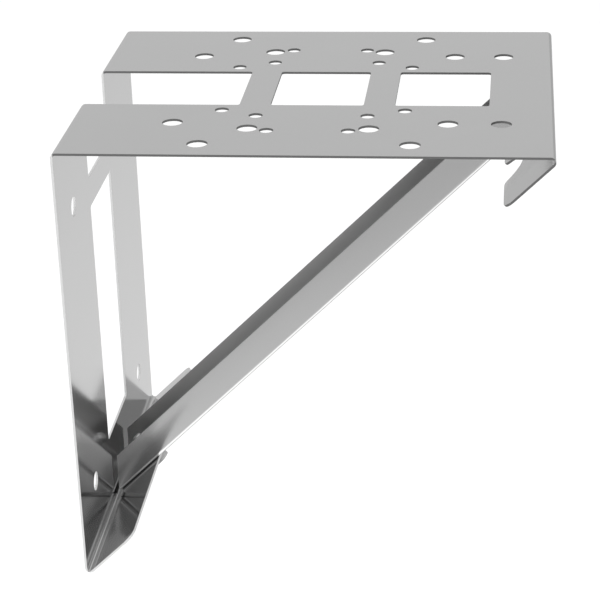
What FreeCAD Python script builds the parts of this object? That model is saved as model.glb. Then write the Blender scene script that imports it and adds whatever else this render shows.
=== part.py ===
"""Wall bracket: a pierced sheet folded into a shelf plate and a wall plate, braced by a bolted channel strut.

The sheet starts as a return flange, runs up the wall, turns a right angle into the shelf plate, and ends
in a second return flange. Both flanges lie in one slanted plane, the brace plane. A channel strut lies on
their inner faces with its open side towards the corner, and a bolt, washer and nut hold it at each end.

Lengths are millimetres. The sheet is laid out from its outer corner, where the back of the wall plate
meets the top of the shelf plate, and the finished solids are moved so that the origin is the centre of
the four wall fixing holes, on the back face. +X leads away from the wall, +Y across the bracket, +Z up.
"""

import FreeCAD, Part
import math
import os
from dataclasses import dataclass

# Folded sheet
SHEET = 1.5
INNER_BEND = 2.0
REACH = 305.0
DROP = 297.0
WIDTH = 255.0
FLANGE_LENGTH = 40.0
FLANGE_CORNER = 8.0

# Windows cut down the middle of the sheet
WINDOW_WIDTH = 69.0
WINDOW_CORNER = 2.0
RIB = 20.0
SHELF_WINDOW_LENGTH = 60.0
SHELF_END_MARGIN = 41.0
CORNER_WINDOW_DROP = 51.5
WALL_WINDOW_LENGTH = 175.5

# Round holes
LARGE_HOLE = 13.0
SMALL_HOLE = 9.0

# Hole rectangles of the shelf plate, outermost first: spacing away from the wall, then across
FIRST_LARGE_ALONG = 173.0
FIRST_LARGE_ACROSS = 138.0
SECOND_LARGE_ALONG = 130.0
SECOND_LARGE_ACROSS = 216.0
THIRD_LARGE_ALONG = 76.0
THIRD_LARGE_ACROSS = 158.0
FIRST_SMALL_ALONG = 117.0
FIRST_SMALL_ACROSS = 89.0
SECOND_SMALL_ALONG = 71.0
SECOND_SMALL_ACROSS = 110.0
THIRD_SMALL_ALONG = 51.0
THIRD_SMALL_ACROSS = 166.0

# The far pair on the shelf plate and the wall fixing holes
WALL_HOLE_TOP_DROP = 52.5
WALL_HOLE_SPACING_Y = 165.0
WALL_HOLE_SPACING_Z = 200.0
FAR_PAIR_MARGIN = 33.0
FAR_PAIR_SPACING = 138.0

# Access notches in the far flange, one under each hole of the far pair
NOTCH_RADIUS = 16.0
NOTCH_CORNER = 5.0

# Channel strut
STRUT_SHEET = 1.5
STRUT_INNER_BEND = 1.5
STRUT_WIDTH = 43.0
STRUT_DEPTH = 21.2
STRUT_END_GAP = 1.8
STRUT_FOLD_GAP = 0.6

# Fasteners at each end of the strut
BOLT_DIAMETER = 8.0
BOLT_LENGTH = 20.0
BOLT_FROM_FOLD = 29.0
BOLT_HOLE_CLEARANCE = 1.0
HEX_SIDES = 6
HEX_ACROSS_FLATS = 13.0
HEAD_HEIGHT = 5.3
NUT_HEIGHT = 6.5
HEX_CHAMFER = math.radians(30.0)
TIP_CHAMFER = 1.0
WASHER_DIAMETER = 16.0
WASHER_THICKNESS = 1.0
THREAD_GAP = 0.02

# Sizes that follow from the ones above
OUTER_BEND = INNER_BEND + SHEET
SHELF_CENTRE = REACH / 2.0
SHELF_RUN = REACH - 2.0 * OUTER_BEND
WALL_RUN = DROP - 2.0 * OUTER_BEND
BRACE_SPAN = math.hypot(SHELF_RUN, WALL_RUN)
BRACE_ANGLE = math.atan2(WALL_RUN, SHELF_RUN)
BOLT_STATIONS = (BOLT_FROM_FOLD, BRACE_SPAN - BOLT_FROM_FOLD)
BOLT_HOLE = BOLT_DIAMETER + BOLT_HOLE_CLEARANCE
WALL_HOLE_CENTRE_DROP = WALL_HOLE_TOP_DROP + WALL_HOLE_SPACING_Z / 2.0
THROUGH = 4.0 * SHEET
BEYOND = 2.0 * FLANGE_LENGTH
TOLERANCE = SHEET / 1000.0

ORIGIN = FreeCAD.Vector(0.0, 0.0, 0.0)
X = FreeCAD.Vector(1.0, 0.0, 0.0)
Y = FreeCAD.Vector(0.0, 1.0, 0.0)
Z = FreeCAD.Vector(0.0, 0.0, 1.0)


@dataclass(frozen=True)
class HoleRectangle:
    """Four equal holes on the corners of a rectangle that is centred on the shelf plate."""

    diameter: float
    along: float
    across: float

    def centres(self):
        """Return the four hole centres on the top face of the shelf plate."""
        return [
            FreeCAD.Vector(SHELF_CENTRE + side * self.along / 2.0, end * self.across / 2.0, 0.0)
            for side in (-1, 1)
            for end in (-1, 1)
        ]


SHELF_HOLES = (
    HoleRectangle(LARGE_HOLE, FIRST_LARGE_ALONG, FIRST_LARGE_ACROSS),
    HoleRectangle(LARGE_HOLE, SECOND_LARGE_ALONG, SECOND_LARGE_ACROSS),
    HoleRectangle(LARGE_HOLE, THIRD_LARGE_ALONG, THIRD_LARGE_ACROSS),
    HoleRectangle(SMALL_HOLE, FIRST_SMALL_ALONG, FIRST_SMALL_ACROSS),
    HoleRectangle(SMALL_HOLE, SECOND_SMALL_ALONG, SECOND_SMALL_ACROSS),
    HoleRectangle(SMALL_HOLE, THIRD_SMALL_ALONG, THIRD_SMALL_ACROSS),
)


class FoldProfile:
    """Edge-on outline of a folded sheet, walked along its outer face with the metal on the right."""

    def __init__(self, start, heading, across, up, thickness, inner_radius):
        self.across = across
        self.up = up
        self.thickness = thickness
        self.inner_radius = inner_radius
        self.outer_radius = inner_radius + thickness
        self.heading = heading
        self.point = start
        self.outer = []
        self.inner = []

    def direction(self, turn=0.0):
        """Return the unit vector at an angle to the heading, anticlockwise positive."""
        angle = self.heading + turn
        return self.across * math.cos(angle) + self.up * math.sin(angle)

    def inside(self):
        """Return the point on the inner face that is opposite the present one."""
        return self.point + self.direction(-math.pi / 2.0) * self.thickness

    def straight(self, length):
        """Walk a flat stretch."""
        before, before_inside = self.point, self.inside()
        self.point = self.point + self.direction() * length
        self.outer.append(Part.makeLine(before, self.point))
        self.inner.append(Part.makeLine(before_inside, self.inside()))
        return self

    def fold(self, angle):
        """Walk a clockwise bend through the given angle."""
        centre = self.point + self.direction(-math.pi / 2.0) * self.outer_radius
        spokes = [self.direction(math.pi / 2.0 - part * angle) for part in (0.0, 0.5, 1.0)]
        for radius, edges in ((self.outer_radius, self.outer), (self.inner_radius, self.inner)):
            edges.append(Part.Arc(*[centre + spoke * radius for spoke in spokes]).toShape())
        self.point = centre + spokes[-1] * self.outer_radius
        self.heading -= angle
        return self

    def face(self):
        """Close the walked outline into a face."""
        ends = [
            Part.makeLine(self.outer[0].firstVertex().Point, self.inner[0].firstVertex().Point),
            Part.makeLine(self.point, self.inside()),
        ]
        return Part.Face(Part.Wire(Part.__sortEdges__(self.outer + self.inner + ends)))


def brace_placement():
    """Return the brace frame: local X runs up the brace plane and local Z points into the corner."""
    tilt = FreeCAD.Rotation(Y, -math.degrees(BRACE_ANGLE))
    lower_bend = FreeCAD.Vector(OUTER_BEND, 0.0, OUTER_BEND - DROP)
    return FreeCAD.Placement(lower_bend - tilt.multVec(Z) * OUTER_BEND, tilt)


def in_brace_frame(shape):
    """Lay a shape that was drawn in the brace frame onto the brace plane."""
    placed = shape.copy()
    placed.Placement = brace_placement().multiply(placed.Placement)
    return placed


def rounded_box(corner, size, axis, radius, keep=lambda point: True):
    """Return a box with the edges along one axis rounded, those only whose middle passes keep."""
    box = Part.makeBox(size.x, size.y, size.z, corner)
    edges = [
        edge
        for edge in box.Edges
        if edge.tangentAt(edge.FirstParameter).cross(axis).Length < TOLERANCE and keep(edge.CenterOfMass)
    ]
    return box.makeFillet(radius, edges)


def shelf_window(start, end, keep=lambda point: True):
    """Return the cutter of one window in the shelf plate, from one X to another."""
    corner = FreeCAD.Vector(start, -WINDOW_WIDTH / 2.0, -THROUGH)
    size = FreeCAD.Vector(end - start, WINDOW_WIDTH, 2.0 * THROUGH)
    return rounded_box(corner, size, Z, WINDOW_CORNER, keep)


def wall_window(top, bottom, keep=lambda point: True):
    """Return the cutter of one window in the wall plate, from one depth below the top to another."""
    corner = FreeCAD.Vector(-THROUGH, -WINDOW_WIDTH / 2.0, -bottom)
    size = FreeCAD.Vector(2.0 * THROUGH, WINDOW_WIDTH, bottom - top)
    return rounded_box(corner, size, X, WINDOW_CORNER, keep)


def window_cutters():
    """Return the cutters of all windows. The first one wraps round the right-angle bend."""
    cutters = []
    end = REACH - SHELF_END_MARGIN
    for _ in range(2):
        cutters.append(shelf_window(end - SHELF_WINDOW_LENGTH, end))
        end -= SHELF_WINDOW_LENGTH + RIB
    cutters.append(shelf_window(-THROUGH, end, keep=lambda point: point.x > SHEET))
    cutters.append(wall_window(-THROUGH, CORNER_WINDOW_DROP, keep=lambda point: point.z < -SHEET))
    top = CORNER_WINDOW_DROP + RIB
    cutters.append(wall_window(top, top + WALL_WINDOW_LENGTH))
    return cutters


def drill(centre, axis, diameter):
    """Return the cutter of a round hole through a sheet, centred on a point of its face."""
    return Part.makeCylinder(diameter / 2.0, 2.0 * THROUGH, centre - axis * THROUGH, axis)


def shelf_drills():
    """Return the cutters of the shelf plate's holes."""
    cutters = [drill(centre, Z, group.diameter) for group in SHELF_HOLES for centre in group.centres()]
    for side in (-1, 1):
        centre = FreeCAD.Vector(REACH - FAR_PAIR_MARGIN, side * FAR_PAIR_SPACING / 2.0, 0.0)
        cutters.append(drill(centre, Z, LARGE_HOLE))
    return cutters


def wall_drills():
    """Return the cutters of the four wall fixing holes."""
    return [
        drill(FreeCAD.Vector(0.0, side * WALL_HOLE_SPACING_Y / 2.0, -drop), X, LARGE_HOLE)
        for side in (-1, 1)
        for drop in (WALL_HOLE_TOP_DROP, WALL_HOLE_TOP_DROP + WALL_HOLE_SPACING_Z)
    ]


def bolt_drills():
    """Return the cutters of the strut bolts' holes, through flanges and web together."""
    return [in_brace_frame(drill(X * station, Z, BOLT_HOLE)) for station in BOLT_STATIONS]


def notch_cutters():
    """Return the cutters of the half-round notches in the far flange's free edge."""
    station = BRACE_SPAN - FLANGE_LENGTH
    return [
        in_brace_frame(drill(FreeCAD.Vector(station, side * FAR_PAIR_SPACING / 2.0, 0.0), Z, 2.0 * NOTCH_RADIUS))
        for side in (-1, 1)
    ]


def flange_edges(solid, station):
    """Return the short edges that cross the sheet at a flange's free edge."""
    to_brace = brace_placement().inverse()
    found = []
    for edge in solid.Edges:
        middle = to_brace.multVec(edge.CenterOfMass)
        crosses = abs(edge.Length - SHEET) < TOLERANCE
        if crosses and abs(middle.x - station) < TOLERANCE and 0.0 < middle.z < SHEET:
            found.append((abs(middle.y), edge))
    return found


def round_flange(solid, station, outer_corners):
    """Round the corners of one flange: either its two outer ones or those of its notches."""
    limit = WIDTH / 2.0 - FLANGE_CORNER
    edges = [edge for offset, edge in flange_edges(solid, station) if (offset > limit) == outer_corners]
    return solid.makeFillet(FLANGE_CORNER if outer_corners else NOTCH_CORNER, edges)


def make_folded_sheet():
    """Fold the sheet, then round its flanges and pierce it."""
    start = brace_placement().multVec(X * FLANGE_LENGTH - Y * WIDTH / 2.0)
    profile = FoldProfile(start, BRACE_ANGLE + math.pi, X, Z, SHEET, INNER_BEND)
    profile.straight(FLANGE_LENGTH).fold(math.pi / 2.0 + BRACE_ANGLE)
    profile.straight(WALL_RUN).fold(math.pi / 2.0).straight(SHELF_RUN)
    profile.fold(math.pi - BRACE_ANGLE).straight(FLANGE_LENGTH)
    sheet = profile.face().extrude(Y * WIDTH)
    far_edge = BRACE_SPAN - FLANGE_LENGTH
    for station in (FLANGE_LENGTH, far_edge):
        sheet = round_flange(sheet, station, outer_corners=True)
    sheet = round_flange(sheet.cut(notch_cutters()), far_edge, outer_corners=False)
    return sheet.cut(window_cutters() + shelf_drills() + wall_drills() + bolt_drills())


def make_channel_strut():
    """Fold the channel, lay it on the flanges, and trim it to the two plates and the two folds."""
    bend = STRUT_INNER_BEND + STRUT_SHEET
    wall = STRUT_DEPTH - bend
    start = FreeCAD.Vector(-BEYOND, STRUT_WIDTH / 2.0, SHEET + STRUT_DEPTH)
    profile = FoldProfile(start, -math.pi / 2.0, Y, Z, STRUT_SHEET, STRUT_INNER_BEND)
    profile.straight(wall).fold(math.pi / 2.0).straight(STRUT_WIDTH - 2.0 * bend)
    profile.fold(math.pi / 2.0).straight(wall)
    channel = profile.face().extrude(X * (BRACE_SPAN + 2.0 * BEYOND))
    kept = Part.makeBox(
        BRACE_SPAN - 2.0 * STRUT_FOLD_GAP,
        WIDTH,
        2.0 * STRUT_DEPTH,
        FreeCAD.Vector(STRUT_FOLD_GAP, -WIDTH / 2.0, 0.0),
    )
    clear = SHEET + STRUT_END_GAP
    inside = Part.makeBox(REACH, WIDTH, DROP, FreeCAD.Vector(clear, -WIDTH / 2.0, -DROP - clear))
    strut = in_brace_frame(channel.common(kept)).common(inside)
    return strut.cut(bolt_drills())


def hex_blank(height, chamfered_ends):
    """Return an upright hexagonal block whose corners are turned off at the given ends."""
    face_radius = HEX_ACROSS_FLATS / 2.0
    corner = face_radius / math.cos(math.pi / HEX_SIDES)
    angles = [2.0 * math.pi * step / HEX_SIDES for step in range(HEX_SIDES)]
    rim = [X * corner * math.cos(angle) + Y * corner * math.sin(angle) for angle in angles]
    block = Part.Face(Part.makePolygon(rim + rim[:1])).extrude(Z * height)
    slope_height = (corner - face_radius) * math.tan(HEX_CHAMFER)
    for end in chamfered_ends:
        away = 1.0 if end else -1.0
        turned = Part.makeCylinder(corner, height - slope_height, ORIGIN if end else Z * slope_height)
        base = Z * (height - slope_height if end else slope_height)
        cone = Part.makeCone(corner, face_radius, slope_height, base, Z * away)
        block = block.common(turned.fuse(cone))
    return block


def chamfered_rod(length):
    """Return an upright rod with its upper rim chamfered."""
    rod = Part.makeCylinder(BOLT_DIAMETER / 2.0, length)
    rims = [edge for edge in rod.Edges if math.isclose(edge.CenterOfMass.z, length) and edge.Closed]
    return rod.makeChamfer(TIP_CHAMFER, rims)


def make_bolt():
    """Return a bolt upright in the brace frame, with its head below the washer."""
    seat = -WASHER_THICKNESS
    head = hex_blank(HEAD_HEIGHT, chamfered_ends=(0,))
    head.translate(Z * (seat - HEAD_HEIGHT))
    shank = chamfered_rod(BOLT_LENGTH)
    shank.translate(Z * seat)
    return head.fuse(shank).removeSplitter()


def make_washer():
    """Return the washer between a bolt head and the flange."""
    base = Z * -WASHER_THICKNESS
    disc = Part.makeCylinder(WASHER_DIAMETER / 2.0, WASHER_THICKNESS, base)
    return disc.cut(Part.makeCylinder(BOLT_HOLE / 2.0, WASHER_THICKNESS, base))


def make_nut():
    """Return the nut that clamps the strut's web to the flange."""
    nut = hex_blank(NUT_HEIGHT, chamfered_ends=(0, 1))
    nut = nut.cut(Part.makeCylinder(BOLT_DIAMETER / 2.0 + THREAD_GAP, NUT_HEIGHT))
    nut.translate(Z * (SHEET + STRUT_SHEET))
    return nut


def at_both_ends(fastener):
    """Return one compound with a copy of a fastener at each bolt station."""
    copies = []
    for station in BOLT_STATIONS:
        copy = fastener.copy()
        copy.translate(X * station)
        copies.append(in_brace_frame(copy))
    return Part.makeCompound(copies)


def main():
    """Build every node, move it to the bracket's own frame and write it."""
    nodes = {
        "folded_sheet": make_folded_sheet(),
        "channel_strut": make_channel_strut(),
        "strut_bolts": at_both_ends(make_bolt()),
        "strut_washers": at_both_ends(make_washer()),
        "strut_nuts": at_both_ends(make_nut()),
    }
    os.makedirs("parts", exist_ok=True)
    for name, shape in nodes.items():
        shape.translate(Z * WALL_HOLE_CENTRE_DROP)
        shape.exportStep(f"parts/{name}.step")


main()
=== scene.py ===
"""Wall bracket in bright stainless sheet: looks, threads, studio and camera.

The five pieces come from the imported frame: the folded sheet, the channel strut, and the bolts, washers and
nuts that join them. This script dresses them in procedural steel, cuts real threads on the bolts, and sets
up a white studio with the camera at the photograph's angle. Lengths are metres, in the part's own frame:
origin at the centre of the wall fixing holes, +X away from the wall, +Y across, +Z up.
"""

import logging
import math
from collections.abc import Mapping, Sequence
from dataclasses import dataclass, field
from enum import Enum
from typing import Union

import bmesh
import bpy
from mathutils import Matrix, Vector


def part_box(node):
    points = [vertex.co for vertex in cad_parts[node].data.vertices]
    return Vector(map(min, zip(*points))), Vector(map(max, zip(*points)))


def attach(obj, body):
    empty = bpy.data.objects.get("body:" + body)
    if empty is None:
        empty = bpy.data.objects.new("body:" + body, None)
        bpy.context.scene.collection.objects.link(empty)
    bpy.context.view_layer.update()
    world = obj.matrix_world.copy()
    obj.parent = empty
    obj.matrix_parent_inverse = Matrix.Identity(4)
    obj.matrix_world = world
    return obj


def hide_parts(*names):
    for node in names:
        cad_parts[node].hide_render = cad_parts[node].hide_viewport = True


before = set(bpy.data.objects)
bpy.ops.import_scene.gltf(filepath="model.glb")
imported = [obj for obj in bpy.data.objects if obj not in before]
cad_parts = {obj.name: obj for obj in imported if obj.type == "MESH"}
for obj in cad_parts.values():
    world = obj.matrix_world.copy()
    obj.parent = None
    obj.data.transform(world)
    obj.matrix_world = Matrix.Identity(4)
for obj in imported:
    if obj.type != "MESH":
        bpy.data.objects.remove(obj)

LOG = logging.getLogger("wall_bracket")
BODY = "root"
MM = 0.001
SHEET_THICKNESS = 1.5 * MM
FLOOR_HEIGHT = -0.50
ABOVE_FLOOR = FLOOR_HEIGHT + 0.01
BELOW_ALL = -1.0

OUTWARD = Vector((1.0, 0.0, 0.0))
ACROSS = Vector((0.0, 1.0, 0.0))
UP = Vector((0.0, 0.0, 1.0))
WHITE = (1.0, 1.0, 1.0, 1.0)

# Edges that turn by this angle or more stay sharp, and the normals follow the largest faces.
SHARP_FROM = math.radians(32.0)
FLAT_WEIGHT = 100
MERGE_DISTANCE = 0.001 * MM
BEVEL_SAMPLES = 6

# Light inside the channel is mirrored many times before it leaves.
GLOSSY_BOUNCES = 12
CERTAIN_BOUNCES = 10


class Node(str, Enum):
    """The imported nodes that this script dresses."""

    SHEET = "folded_sheet"
    STRUT = "channel_strut"
    BOLTS = "strut_bolts"
    WASHERS = "strut_washers"
    NUTS = "strut_nuts"


class Slot(str, Enum):
    """The record's material slots of the nodes that are replaced."""

    SHEET = "sheet_steel"
    STRUT = "strut_steel"
    BOLTS = "bolt_steel"


Value = Union[float, Sequence[float], "Wire"]


@dataclass(frozen=True)
class Wire:
    """One output socket of a shader graph, with arithmetic that adds the Math nodes it needs."""

    graph: "Graph"
    socket: bpy.types.NodeSocket

    def __add__(self, other: "Wire | float") -> "Wire":
        """Return this value plus another."""
        return self.graph.maths("ADD", self, other)

    __radd__ = __add__

    def __mul__(self, other: "Wire | float") -> "Wire":
        """Return this value times another."""
        return self.graph.maths("MULTIPLY", self, other)

    __rmul__ = __mul__

    def __sub__(self, other: "Wire | float") -> "Wire":
        """Return this value minus another."""
        return self.graph.maths("SUBTRACT", self, other)

    def __rsub__(self, other: float) -> "Wire":
        """Return a number minus this value."""
        return self.graph.maths("SUBTRACT", other, self)

    def __abs__(self) -> "Wire":
        """Return the size of this value without its sign."""
        return self.graph.maths("ABSOLUTE", self)

    def __lt__(self, other: float) -> "Wire":
        """Return 1 where this value is below a number and 0 elsewhere."""
        return self.graph.maths("LESS_THAN", self, other)

    def __gt__(self, other: float) -> "Wire":
        """Return 1 where this value is above a number and 0 elsewhere."""
        return self.graph.maths("GREATER_THAN", self, other)

    def either(self, other: "Wire | float") -> "Wire":
        """Return the larger of two masks."""
        return self.graph.maths("MAXIMUM", self, other)

    def blend(self, share: "Wire | float", other: "Wire | float") -> "Wire":
        """Return a mixture of this value and another, which is the other alone where its share is 1."""
        return self * (1.0 - share) + share * other

    def between(self, low: float, high: float) -> "Wire":
        """Return a 0 to 1 value mapped onto the range from low to high."""
        return self * (high - low) + low

    def around(self, middle: float, spread: float) -> "Wire":
        """Return a 0 to 1 value mapped onto a range that reaches a share of its middle to each side."""
        return self.between(middle * (1.0 - spread), middle * (1.0 + spread))


class Graph:
    """The node tree of one material or world, with a single method that adds its nodes."""

    def __init__(self, tree: bpy.types.NodeTree) -> None:
        """Start from an empty tree.

        Args:
            tree: the node tree to fill.
        """
        self.tree = tree
        tree.nodes.clear()

    def node(
        self,
        kind: str,
        settings: Mapping[str, object] | None = None,
        inputs: Mapping[str | int, Value] | None = None,
    ) -> bpy.types.Node:
        """Add a node.

        Args:
            kind: the node's type, such as ShaderNodeMath.
            settings: properties to set before the sockets are filled.
            inputs: a value or a wire for each socket, by name or number.

        Returns:
            The node.
        """
        node = self.tree.nodes.new(kind)
        for name, setting in (settings or {}).items():
            setattr(node, name, setting)
        for name, value in (inputs or {}).items():
            if isinstance(value, Wire):
                self.tree.links.new(value.socket, node.inputs[name])
            else:
                node.inputs[name].default_value = value
        return node

    def wire(
        self,
        kind: str,
        settings: Mapping[str, object] | None = None,
        inputs: Mapping[str | int, Value] | None = None,
        output: str | int = 0,
    ) -> Wire:
        """Add a node and return the wire that leaves one of its outputs."""
        return Wire(self, self.node(kind, settings, inputs).outputs[output])

    def maths(self, operation: str, *values: Wire | float) -> Wire:
        """Return the result of one Math node."""
        return self.wire("ShaderNodeMath", {"operation": operation}, dict(enumerate(values)))

    def point(self) -> Wire:
        """Return the shading point in the part's own frame."""
        return self.wire("ShaderNodeTexCoord", output="Object")

    def along(self, vector: Wire, direction: Vector) -> Wire:
        """Return how far a vector reaches in a direction."""
        inputs = {0: vector, 1: tuple(direction)}
        return self.wire("ShaderNodeVectorMath", {"operation": "DOT_PRODUCT"}, inputs, "Value")

    def stretched(self, vector: Wire, scale: Sequence[float]) -> Wire:
        """Return a vector with each component scaled by itself."""
        return self.wire("ShaderNodeVectorMath", {"operation": "MULTIPLY"}, {0: vector, 1: scale})

    def noise(self, vector: Wire, cycles: float, detail: float) -> Wire:
        """Return a 0 to 1 noise of some cycles per metre, with a number of finer octaves."""
        inputs = {"Vector": vector, "Scale": cycles, "Detail": detail}
        return self.wire("ShaderNodeTexNoise", inputs=inputs, output="Fac")

    def ramp(self, value: Wire, ends: Sequence[float], results: Sequence[float]) -> Wire:
        """Return a value that runs straight from one result to another.

        Args:
            value: what the run follows.
            ends: where the run starts and where it ends, beyond which it is held.
            results: the results at those two ends.

        Returns:
            The mapped value.
        """
        inputs = {
            "Value": value,
            "From Min": ends[0],
            "From Max": ends[1],
            "To Min": results[0],
            "To Max": results[1],
        }
        return self.wire("ShaderNodeMapRange", inputs=inputs)

    def grey(self, level: Wire) -> Wire:
        """Return a grey colour of a varying level."""
        return self.wire("ShaderNodeCombineColor", inputs={0: level, 1: level, 2: level})

    def rounded(self, radius: float) -> Wire:
        """Return the normal with edges rounded to a radius."""
        return self.wire("ShaderNodeBevel", {"samples": BEVEL_SAMPLES}, {"Radius": radius})

    def bump(self, height: Wire, strength: float, distance: float, normal: Wire) -> Wire:
        """Return a normal that follows a height.

        Args:
            height: the 0 to 1 height.
            strength: how much of the bump is applied.
            distance: the height in metres that 1 stands for.
            normal: the normal to start from.

        Returns:
            The bumped normal.
        """
        inputs = {"Height": height, "Strength": strength, "Distance": distance, "Normal": normal}
        return self.wire("ShaderNodeBump", inputs=inputs)

    def glow(self, colour: Value, strength: float = 1.0) -> Wire:
        """Return a glowing surface."""
        return self.wire("ShaderNodeEmission", inputs={"Color": colour, "Strength": strength})

    def steel(self, tone: Wire, metal: Wire | float, polish: Wire, normal: Wire) -> Wire:
        """Return a grey metal surface.

        Args:
            tone: how light the metal is.
            metal: 1 for clean metal, less where the surface is dull.
            polish: its roughness.
            normal: its normal.

        Returns:
            The surface.
        """
        inputs = {"Base Color": self.grey(tone), "Metallic": metal, "Roughness": polish, "Normal": normal}
        return self.wire("ShaderNodeBsdfPrincipled", inputs=inputs)

    def surface(self, shader: Wire) -> None:
        """Give the material its surface."""
        self.node("ShaderNodeOutputMaterial", inputs={"Surface": shader})


def new_material(name: str) -> tuple[bpy.types.Material, Graph]:
    """Make an empty material.

    Args:
        name: the material's name.

    Returns:
        The material and the graph that fills it.
    """
    made = bpy.data.materials.new(name)
    made.use_nodes = True
    return made, Graph(made.node_tree)


@dataclass(frozen=True)
class Plate:
    """One flat stretch of sheet: where its outer face lies, which way that faces, and how thick it is.

    Its cut edges have a tone of their own, which counts only above a height. A face counts as cut where it
    lies within the thickness and a small margin, and turns less than a limit towards the outer face.
    """

    face_point: Vector
    normal: Vector
    thickness: float
    cut_tone: float
    lowest: float = BELOW_ALL
    margin: float = 0.1 * MM
    turn_limit: float = 0.45

    def offset(self, graph: Graph, point: Wire) -> Wire:
        """Return how far a point lies outside this plate's middle plane."""
        middle = self.face_point - self.normal * self.thickness / 2.0
        return graph.along(point, self.normal) - middle.dot(self.normal)

    def cut_faces(self, graph: Graph, point: Wire, normal: Wire) -> Wire:
        """Return 1 on the faces that cut through this plate and 0 elsewhere.

        Args:
            graph: the graph to build in.
            point: the shading point.
            normal: the face normal at that point.

        Returns:
            The mask.
        """
        inside = abs(self.offset(graph, point)) < self.thickness / 2.0 + self.margin
        high_enough = graph.along(point, UP) > self.lowest
        return inside * high_enough * (abs(graph.along(normal, self.normal)) < self.turn_limit)

    def inner_side(self, graph: Graph, point: Wire) -> Wire:
        """Return 1 on the inner side of this plate's middle plane and 0 elsewhere."""
        return self.offset(graph, point) < 0.0


@dataclass(frozen=True)
class SheetFinish:
    """Cold-rolled bright sheet: a soft mirror with a faint grain across it, and matt sheared edges.

    A channel's inner side is the sheet's duller one, where an inner roughness is set. Painted shade darkens
    it from an inner tone to a darker inner top tone, between two heights. A spread is a share of its middle
    value.
    """

    name: str
    tone: float = 0.62
    tone_spread: float = 0.02
    roughness: float = 0.1
    roughness_spread: float = 0.1
    cloud_cycles: float = 22.0
    grain_cycles: tuple[float, float, float] = (6.0, 900.0, 6.0)
    detail: float = 3.0
    grain_in_tone: float = 0.4
    grain_in_polish: float = 0.5
    grain_strength: float = 0.02
    grain_depth: float = 0.01 * MM
    sag_cycles: float = 7.0
    sag_strength: float = 0.06
    sag_depth: float = 0.25 * MM
    cut_roughness: float = 0.55
    cut_metal: float = 0.25
    edge_radius: float = 0.25 * MM
    inner_roughness: float | None = None
    inner_tone: float = 0.66
    inner_top_painted_shade: float = 0.44
    inner_shade_fade: tuple[float, float] = (40.0 * MM, 130.0 * MM)

    def material(self, plates: Sequence[Plate]) -> bpy.types.Material:
        """Build the finish.

        Args:
            plates: the flat stretches of the piece, so that their cut faces can be told apart.

        Returns:
            The material.
        """
        made, graph = new_material(self.name)
        point = graph.point()
        facing = graph.wire("ShaderNodeNewGeometry", output="True Normal")
        grain = graph.noise(graph.stretched(point, self.grain_cycles), cycles=1.0, detail=self.detail)
        clouds = graph.noise(point, self.cloud_cycles, self.detail)
        tone = clouds.blend(self.grain_in_tone, grain).around(self.tone, self.tone_spread)
        polish = clouds.blend(self.grain_in_polish, grain).around(self.roughness, self.roughness_spread)
        if self.inner_roughness is not None:
            inner = math.prod(plate.inner_side(graph, point) for plate in plates)
            # painted shade: the channel's inside darkens from the inner tone to the inner top tone towards
            # its upper end
            tones = (self.inner_tone, self.inner_top_painted_shade)
            tone = tone.blend(inner, graph.ramp(graph.along(point, UP), self.inner_shade_fade, tones))
            polish = polish.blend(inner, self.inner_roughness)
        cut = 0.0
        # each plate's cut tone: on the folded sheet this is painted shade or a painted highlight on the cut
        # edges
        for plate in plates:
            mask = plate.cut_faces(graph, point, facing)
            tone = tone.blend(mask, plate.cut_tone)
            cut = mask.either(cut)
        metal = 1.0 - cut * (1.0 - self.cut_metal)
        sagging = graph.noise(point, self.sag_cycles, detail=0.0)
        normal = graph.bump(sagging, self.sag_strength, self.sag_depth, graph.rounded(self.edge_radius))
        normal = graph.bump(grain, self.grain_strength, self.grain_depth, normal)
        graph.surface(graph.steel(tone, metal, polish.blend(cut, self.cut_roughness), normal))
        return made


@dataclass(frozen=True)
class TurnedFinish:
    """Plain stainless of the fasteners, with fine rings about their axis.

    A spread is a share of its middle value.
    """

    name: str
    axis: Vector
    tone: float = 0.45
    tone_spread: float = 0.1
    roughness: float = 0.2
    roughness_spread: float = 0.25
    cloud_cycles: float = 240.0
    cloud_detail: float = 3.0
    ring_cycles: float = 5200.0
    ring_detail: float = 2.0
    rings_in_tone: float = 0.3
    ring_strength: float = 0.08
    ring_depth: float = 0.02 * MM
    edge_radius: float = 0.2 * MM

    def material(self) -> bpy.types.Material:
        """Build the finish.

        Returns:
            The material.
        """
        made, graph = new_material(self.name)
        point = graph.point()
        clouds = graph.noise(point, self.cloud_cycles, self.cloud_detail)
        station = graph.wire("ShaderNodeCombineXYZ", inputs={0: graph.along(point, self.axis)})
        rings = graph.noise(station, self.ring_cycles, self.ring_detail)
        tone = clouds.blend(self.rings_in_tone, rings).around(self.tone, self.tone_spread)
        polish = clouds.around(self.roughness, self.roughness_spread)
        normal = graph.bump(rings, self.ring_strength, self.ring_depth, graph.rounded(self.edge_radius))
        graph.surface(graph.steel(tone, 1.0, polish, normal))
        return made


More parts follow.
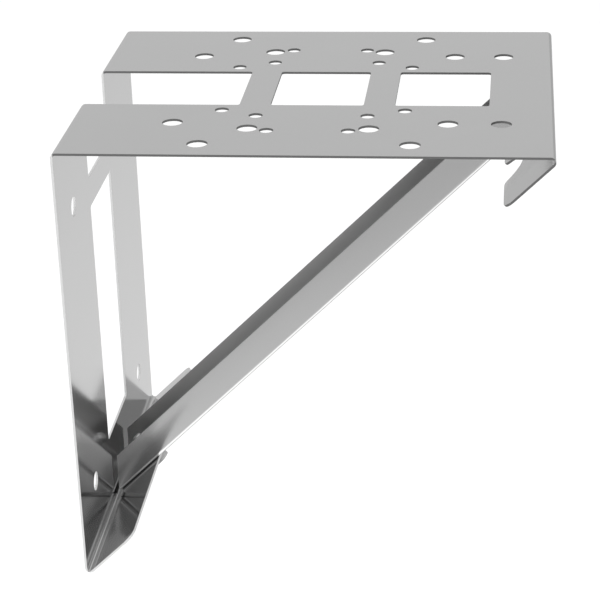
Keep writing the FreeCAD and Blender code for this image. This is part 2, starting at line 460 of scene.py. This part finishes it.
@dataclass(frozen=True)
class BraceFrame:
    """The slanted plane of the two flanges: local X runs up it and local Z points into the corner."""

    reach: float
    drop: float
    top: float
    outer_bend: float = 3.5 * MM

    @classmethod
    def measured(cls) -> "BraceFrame":
        """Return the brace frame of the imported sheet."""
        low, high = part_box(Node.SHEET.value)
        return cls(reach=high.x, drop=high.z - low.z, top=high.z)

    @property
    def run(self) -> float:
        """Return how far the upper fold lies from the lower one, away from the wall."""
        return self.reach - 2.0 * self.outer_bend

    @property
    def rise(self) -> float:
        """Return how far the upper fold lies above the lower one."""
        return self.drop - 2.0 * self.outer_bend

    @property
    def angle(self) -> float:
        """Return the slope of the plane above the horizontal, in radians."""
        return math.atan2(self.rise, self.run)

    @property
    def span(self) -> float:
        """Return the distance between the two folds along the plane."""
        return math.hypot(self.rise, self.run)

    @property
    def inward(self) -> Vector:
        """Return the direction from the plane into the corner."""
        return Vector((-math.sin(self.angle), 0.0, math.cos(self.angle)))

    @property
    def foot(self) -> Vector:
        """Return the point of the flanges' outer plane at the lower fold."""
        bend = Vector((self.outer_bend, 0.0, self.top - self.drop + self.outer_bend))
        return bend - self.inward * self.outer_bend

    @property
    def matrix(self) -> Matrix:
        """Return the transform from the brace frame to the part's frame."""
        return Matrix.Translation(self.foot) @ Matrix.Rotation(-self.angle, 4, "Y")


@dataclass
class FoldedSheet:
    """The pierced sheet with its shelf plate, wall plate and two return flanges."""

    brace: BraceFrame
    thickness: float = SHEET_THICKNESS
    # painted shade on the cut edges of the shelf plate and the flanges' upper half; painted highlight on
    # those of the wall plate and the flanges' lower half
    shelf_cut_painted_shade: float = 0.14
    wall_cut_painted_highlight: float = 0.75
    finish: SheetFinish = SheetFinish("sheet_steel")

    def plates(self) -> list[Plate]:
        """List the sheet's flat stretches.

        Returns:
            The shelf plate, the wall plate, and the flanges' plane twice, as the cut edges of its lower half
            get the painted highlight and those of its upper half the painted shade.
        """
        slanted = -self.brace.inward
        return [
            Plate(UP * self.brace.top, UP, self.thickness, self.shelf_cut_painted_shade),
            Plate(Vector(), -OUTWARD, self.thickness, self.wall_cut_painted_highlight),
            Plate(self.brace.foot, slanted, self.thickness, self.wall_cut_painted_highlight),
            Plate(self.brace.foot, slanted, self.thickness, self.shelf_cut_painted_shade, lowest=0.0),
        ]

    def dress(self) -> list[bpy.types.Object]:
        """Give the sheet smooth bends and its finish.

        Returns:
            The dressed sheet.
        """
        smooth = stand_in(Node.SHEET, merged(Node.SHEET))
        smooth.data.materials.append(self.finish.material(self.plates()))
        return [smooth]


@dataclass
class ChannelStrut:
    """The bolted channel across the corner, which lies on the inner faces of the flanges."""

    brace: BraceFrame
    thickness: float = SHEET_THICKNESS
    cut_tone: float = 0.3
    finish: SheetFinish = SheetFinish(
        "strut_steel", tone=0.75, roughness=0.16, roughness_spread=0.125, inner_roughness=0.35
    )

    def plates(self) -> list[Plate]:
        """List the strut's flat stretches.

        Returns:
            The two side walls and the web.
        """
        low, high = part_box(Node.STRUT.value)
        near = Plate(ACROSS * low.y, -ACROSS, self.thickness, self.cut_tone)
        far = Plate(ACROSS * high.y, ACROSS, self.thickness, self.cut_tone)
        web = self.brace.foot + self.brace.inward * SHEET_THICKNESS
        return [near, far, Plate(web, -self.brace.inward, self.thickness, self.cut_tone)]

    def dress(self) -> list[bpy.types.Object]:
        """Give the strut smooth bends and its finish.

        Returns:
            The dressed strut.
        """
        smooth = stand_in(Node.STRUT, merged(Node.STRUT))
        smooth.data.materials.append(self.finish.material(self.plates()))
        return [smooth]


@dataclass
class StrutFasteners:
    """The bolts, washers and nuts at both ends of the strut, with real threads on the bolts.

    Heights run along a bolt from the flange's outer face. The thread's outline is in shares of the pitch.
    """

    brace: BraceFrame
    from_fold: float = 29.0 * MM
    radius: float = 4.0 * MM
    pitch: float = 1.25 * MM
    thread_depth: float = 0.72 * MM
    thread_start: float = 9.0 * MM
    tip: float = 19.0 * MM
    tip_chamfer: float = 1.0 * MM
    root_end: float = 0.12
    crest_start: float = 0.45
    crest_end: float = 0.67
    spare_turns: int = 2
    steps: int = 40
    finish: TurnedFinish = field(init=False)

    def __post_init__(self) -> None:
        """Set the finish, whose rings run about the bolts' axis."""
        self.finish = TurnedFinish("fastener_steel", self.brace.inward)

    def stations(self) -> tuple[float, float]:
        """Return where the bolts stand along the brace plane."""
        return self.from_fold, self.brace.span - self.from_fold

    def spun_thread(self) -> bmesh.types.BMesh:
        """Spin the thread's outline up the local Z axis.

        Returns:
            An open thread that reaches past both of its ends.
        """
        root = self.radius - self.thread_depth
        outline = (
            (root, 0.0),
            (root, self.root_end),
            (self.radius, self.crest_start),
            (self.radius, self.crest_end),
            (root, 1.0),
        )
        first = self.thread_start - self.pitch
        mesh = bmesh.new()
        corners = [mesh.verts.new((out, 0.0, first + self.pitch * share)) for out, share in outline]
        profile = [mesh.edges.new(pair) for pair in zip(corners, corners[1:])]
        turns = math.ceil((self.tip - self.thread_start) / self.pitch) + self.spare_turns
        bmesh.ops.spin(
            mesh,
            geom=[*corners, *profile],
            cent=(0.0, 0.0, 0.0),
            axis=UP,
            dvec=UP * (self.pitch / self.steps),
            angle=2.0 * math.pi * turns,
            steps=self.steps * turns,
        )
        bmesh.ops.remove_doubles(mesh, verts=mesh.verts, dist=MERGE_DISTANCE)
        return mesh

    def threaded_end(self) -> bmesh.types.BMesh:
        """Cut the thread to length and chamfer its tip.

        Returns:
            One threaded end about the local Z axis.
        """
        mesh = self.spun_thread()
        self.trim(mesh, self.thread_start, -UP)
        self.trim(mesh, self.tip, UP)
        for vertex in mesh.verts:
            distance = math.hypot(vertex.co.x, vertex.co.y)
            limit = self.radius - max(0.0, vertex.co.z - (self.tip - self.tip_chamfer))
            if distance > limit:
                vertex.co.x *= limit / distance
                vertex.co.y *= limit / distance
        return mesh

    @staticmethod
    def trim(mesh: bmesh.types.BMesh, height: float, outward: Vector) -> None:
        """Cut a mesh off square and close the cut.

        Args:
            mesh: the mesh to trim.
            height: where the cut lies on the local Z axis.
            outward: the direction of the part that goes.
        """
        result = bmesh.ops.bisect_plane(
            mesh,
            geom=[*mesh.verts, *mesh.edges, *mesh.faces],
            plane_co=UP * height,
            plane_no=outward,
            clear_outer=True,
        )
        rim = [piece for piece in result["geom_cut"] if isinstance(piece, bmesh.types.BMEdge)]
        bmesh.ops.edgeloop_fill(mesh, edges=rim)

    def plain_parts(self) -> bmesh.types.BMesh:
        """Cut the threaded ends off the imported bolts.

        Returns:
            What is left of them, in the brace frame.
        """
        mesh = merged(Node.BOLTS)
        mesh.transform(self.brace.matrix.inverted())
        self.trim(mesh, self.thread_start + self.pitch / 2.0, UP)
        return mesh

    def bolts(self) -> bpy.types.Object:
        """Build both bolts with threaded ends.

        Returns:
            The bolts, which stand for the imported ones.
        """
        mesh = self.plain_parts()
        for station in self.stations():
            end = self.threaded_end()
            end.transform(Matrix.Translation((station, 0.0, 0.0)))
            data = bpy.data.meshes.new("thread")
            end.to_mesh(data)
            end.free()
            mesh.from_mesh(data)
            bpy.data.meshes.remove(data)
        mesh.transform(self.brace.matrix)
        bmesh.ops.recalc_face_normals(mesh, faces=mesh.faces)
        return stand_in(Node.BOLTS, mesh)

    def dress(self) -> list[bpy.types.Object]:
        """Build the threaded bolts and finish every fastener.

        Returns:
            The bolts, the washers and the nuts.
        """
        steel = self.finish.material()
        bolts = self.bolts()
        bolts.data.materials.append(steel)
        return [bolts, paint(Node.WASHERS, steel), paint(Node.NUTS, steel)]


def paint(node: Node, material: bpy.types.Material) -> bpy.types.Object:
    """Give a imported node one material.

    Args:
        node: the node to paint.
        material: its new material.

    Returns:
        The node's object.
    """
    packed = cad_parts[node.value]
    packed.data.materials.clear()
    packed.data.materials.append(material)
    return packed


def merged(node: Node) -> bmesh.types.BMesh:
    """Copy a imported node's mesh and join its doubled vertices.

    Args:
        node: the node to copy.

    Returns:
        The copy.
    """
    mesh = bmesh.new()
    mesh.from_mesh(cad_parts[node.value].data)
    bmesh.ops.remove_doubles(mesh, verts=mesh.verts, dist=MERGE_DISTANCE)
    bmesh.ops.recalc_face_normals(mesh, faces=mesh.faces)
    return mesh


def placed(name: str, mesh: bmesh.types.BMesh) -> bpy.types.Object:
    """Put a mesh in the scene.

    Args:
        name: the new object's name.
        mesh: the mesh in the part's frame, which is freed.

    Returns:
        The new object.
    """
    data = bpy.data.meshes.new(name)
    mesh.to_mesh(data)
    mesh.free()
    made = bpy.data.objects.new(name, data)
    bpy.context.scene.collection.objects.link(made)
    return made


def stand_in(node: Node, mesh: bmesh.types.BMesh) -> bpy.types.Object:
    """Make a smooth-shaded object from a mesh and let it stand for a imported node.

    Args:
        node: the node that it stands for.
        mesh: the mesh in the part's frame, which is freed.

    Returns:
        The new object.
    """
    made = placed(f"{node.value}_detailed", mesh)
    made.data.polygons.foreach_set("use_smooth", [True] * len(made.data.polygons))
    made.data.set_sharp_from_angle(angle=SHARP_FROM)
    flats = made.modifiers.new("flats", "WEIGHTED_NORMAL")
    flats.keep_sharp = True
    flats.weight = FLAT_WEIGHT
    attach(made, BODY)
    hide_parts(node.value)
    return made


@dataclass(frozen=True)
class Card:
    """A glowing card that shows only in the metal: its middle, its width and height, and the way it faces.

    Its glow runs straight from one level to another, over its height along Y.
    """

    name: str
    centre: tuple[float, float, float]
    size: tuple[float, float]
    levels: tuple[float, float]
    facing: tuple[float, float, float] = (0.0, 0.0, 1.0)


@dataclass(frozen=True)
class Lamp:
    """A square soft lamp: where it hangs, its side in metres and its power in watts."""

    name: str
    position: Vector
    side: float
    power: float


CARDS = (
    Card("behind_above", (0.15, 2.6, 1.35), (7.0, 2.0), (0.69, 0.69), facing=(0.0, -1.0, -0.3)),
    Card("behind_below", (0.6, 2.2, ABOVE_FLOOR), (6.0, 3.2), (0.83, 0.60)),
    Card("behind_right", (0.87, 1.10, -0.07), (0.95, 0.84), (0.5, 0.5), facing=(-0.44, -0.9, 0.0)),
    Card("behind_horizon", (-0.9, 2.7, 0.0), (5.0, 0.9), (0.62, 0.62), facing=(0.0, -1.0, 0.0)),
    Card("below_behind", (0.25, 0.36, ABOVE_FLOOR), (3.0, 0.48), (0.4, 0.4)),
    Card("below", (0.25, -0.14, ABOVE_FLOOR), (1.4, 0.52), (1.4, 1.4)),
    Card("before_below", (0.15, -1.0, ABOVE_FLOOR), (5.0, 1.2), (0.5, 0.72)),
    Card("before_far", (0.15, -2.3, ABOVE_FLOOR), (5.0, 1.4), (0.4, 0.5)),
    Card("before_horizon", (0.15, -3.0, 0.40), (7.0, 1.0), (0.82, 0.82), facing=(0.0, 1.0, 0.0)),
    Card("before_above", (0.15, -3.0, 1.7), (7.0, 1.6), (0.36, 0.36), facing=(0.0, 1.0, 0.0)),
    Card("left", (-2.5, -1.2, 0.1), (2.4, 1.2), (1.3, 1.3), facing=(1.0, 0.0, 0.0)),
)

LAMPS = (
    Lamp("overhead", Vector((0.3, -0.4, 1.9)), 1.6, 9.0),
    Lamp("left", Vector((-1.6, -1.2, 0.9)), 1.2, 5.0),
)


@dataclass
class Studio:
    """A white studio: a pale floor below the bracket, soft lamps, a white surround and cards."""

    centre: Vector = Vector((0.15, 0.0, 0.0))
    floor_radius: float = 6.0
    floor_sides: int = 96
    floor_tone: float = 0.86
    floor_lift: float = 0.35
    surround_fill: float = 0.75

    def world(self) -> None:
        """Light the scene from all round, white where it is seen directly or in the metal."""
        world = bpy.data.worlds.new("surround")
        world.use_nodes = True
        bpy.context.scene.world = world
        graph = Graph(world.node_tree)
        seen = 0.0
        for kind in ("Camera", "Glossy", "Transmission"):
            seen = graph.wire("ShaderNodeLightPath", output=f"Is {kind} Ray").either(seen)
        inputs = {"Color": WHITE, "Strength": seen.between(self.surround_fill, 1.0)}
        background = graph.wire("ShaderNodeBackground", inputs=inputs)
        graph.node("ShaderNodeOutputWorld", inputs={"Surface": background})

    def floor(self) -> None:
        """Lay the pale floor, which is lifted to white where no shadow falls."""
        mesh = bmesh.new()
        bmesh.ops.create_circle(mesh, cap_ends=True, segments=self.floor_sides, radius=self.floor_radius)
        mesh.transform(Matrix.Translation(self.centre + UP * FLOOR_HEIGHT))
        made = placed("floor", mesh)
        material, graph = new_material("floor_paint")
        tone = self.floor_tone
        paint_layer = graph.wire("ShaderNodeBsdfDiffuse", inputs={"Color": (tone, tone, tone, 1.0)})
        lift = graph.glow(WHITE, self.floor_lift)
        graph.surface(graph.wire("ShaderNodeAddShader", inputs={0: paint_layer, 1: lift}))
        made.data.materials.append(material)

    def lamp(self, lamp: Lamp) -> None:
        """Hang a lamp that faces the studio's centre and is seen only by what it lights.

        Args:
            lamp: the lamp to hang.
        """
        data = bpy.data.lights.new(lamp.name, "AREA")
        data.shape = "SQUARE"
        data.size = lamp.side
        data.energy = lamp.power
        made = bpy.data.objects.new(lamp.name, data)
        made.location = lamp.position
        made.rotation_euler = (self.centre - lamp.position).to_track_quat("-Z", "Y").to_euler()
        made.visible_camera = False
        made.visible_glossy = False
        bpy.context.scene.collection.objects.link(made)

    def card(self, card: Card) -> None:
        """Hang a card that shows only in the metal.

        Args:
            card: the card to hang.
        """
        width, height = card.size
        mesh = bmesh.new()
        bmesh.ops.create_grid(mesh, x_segments=1, y_segments=1, size=0.5)
        mesh.transform(Matrix.Diagonal((width, height, 1.0, 1.0)))
        turn = Vector(card.facing).to_track_quat("Z", "Y").to_matrix().to_4x4()
        mesh.transform(Matrix.Translation(card.centre) @ turn)
        made = placed(card.name, mesh)
        material, graph = new_material(card.name)
        middle = card.centre[1]
        ends = (middle - height / 2.0, middle + height / 2.0)
        level = graph.ramp(graph.along(graph.point(), ACROSS), ends, card.levels)
        graph.surface(graph.glow(graph.grey(level)))
        made.data.materials.append(material)
        for ray in ("camera", "diffuse", "shadow", "transmission", "volume_scatter"):
            setattr(made, f"visible_{ray}", False)

    def build(self) -> None:
        """Set up the surround, the floor, the cards and the lamps."""
        self.world()
        self.floor()
        for card in CARDS:
            self.card(card)
        for lamp in LAMPS:
            self.lamp(lamp)
        LOG.info("studio: surround, floor, %d cards and %d lamps", len(CARDS), len(LAMPS))


@dataclass(frozen=True)
class Viewpoint:
    """The photograph's camera, solved from the bracket's edges, holes and folds in the picture."""

    position: Vector = Vector((0.2800, -1.2425, 0.5645))
    yaw: float = math.radians(6.65)
    pitch: float = math.radians(24.30)
    roll: float = math.radians(-1.83)
    focal_pixels: float = 1994.0
    picture_pixels: float = 600.0
    sensor: float = 36.0
    nearest: float = 0.01
    farthest: float = 100.0

    def turn(self) -> Matrix:
        """Work out the camera's rotation.

        Returns:
            The matrix whose columns point to the picture's right, up it and towards the viewer.
        """
        level = Vector((math.cos(self.yaw), math.sin(self.yaw), 0.0))
        ahead = UP.cross(level)
        forward = ahead * math.cos(self.pitch) - UP * math.sin(self.pitch)
        upright = level.cross(forward)
        right = level * math.cos(self.roll) + upright * math.sin(self.roll)
        up = upright * math.cos(self.roll) - level * math.sin(self.roll)
        return Matrix((right, up, -forward)).transposed()

    def build(self) -> None:
        """Create the camera and make it the scene's own."""
        data = bpy.data.cameras.new("photo_camera")
        data.sensor_width = self.sensor
        data.lens = self.focal_pixels / self.picture_pixels * self.sensor
        data.clip_start = self.nearest
        data.clip_end = self.farthest
        made = bpy.data.objects.new("photo_camera", data)
        made.matrix_world = Matrix.Translation(self.position) @ self.turn().to_4x4()
        bpy.context.scene.collection.objects.link(made)
        bpy.context.scene.camera = made


def main() -> None:
    """Dress the bracket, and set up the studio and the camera."""
    logging.basicConfig(level=logging.INFO, format="%(name)s: %(message)s")
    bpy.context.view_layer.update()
    scene = bpy.context.scene
    scene.view_settings.view_transform = "Standard"
    scene.cycles.glossy_bounces = GLOSSY_BOUNCES
    scene.cycles.min_light_bounces = CERTAIN_BOUNCES
    brace = BraceFrame.measured()
    for assembly in (FoldedSheet(brace), ChannelStrut(brace), StrutFasteners(brace)):
        for piece in assembly.dress():
            LOG.info("%s: %d faces", piece.name, len(piece.data.polygons))
    Studio().build()
    Viewpoint().build()


if __name__ == "__main__":
    main()
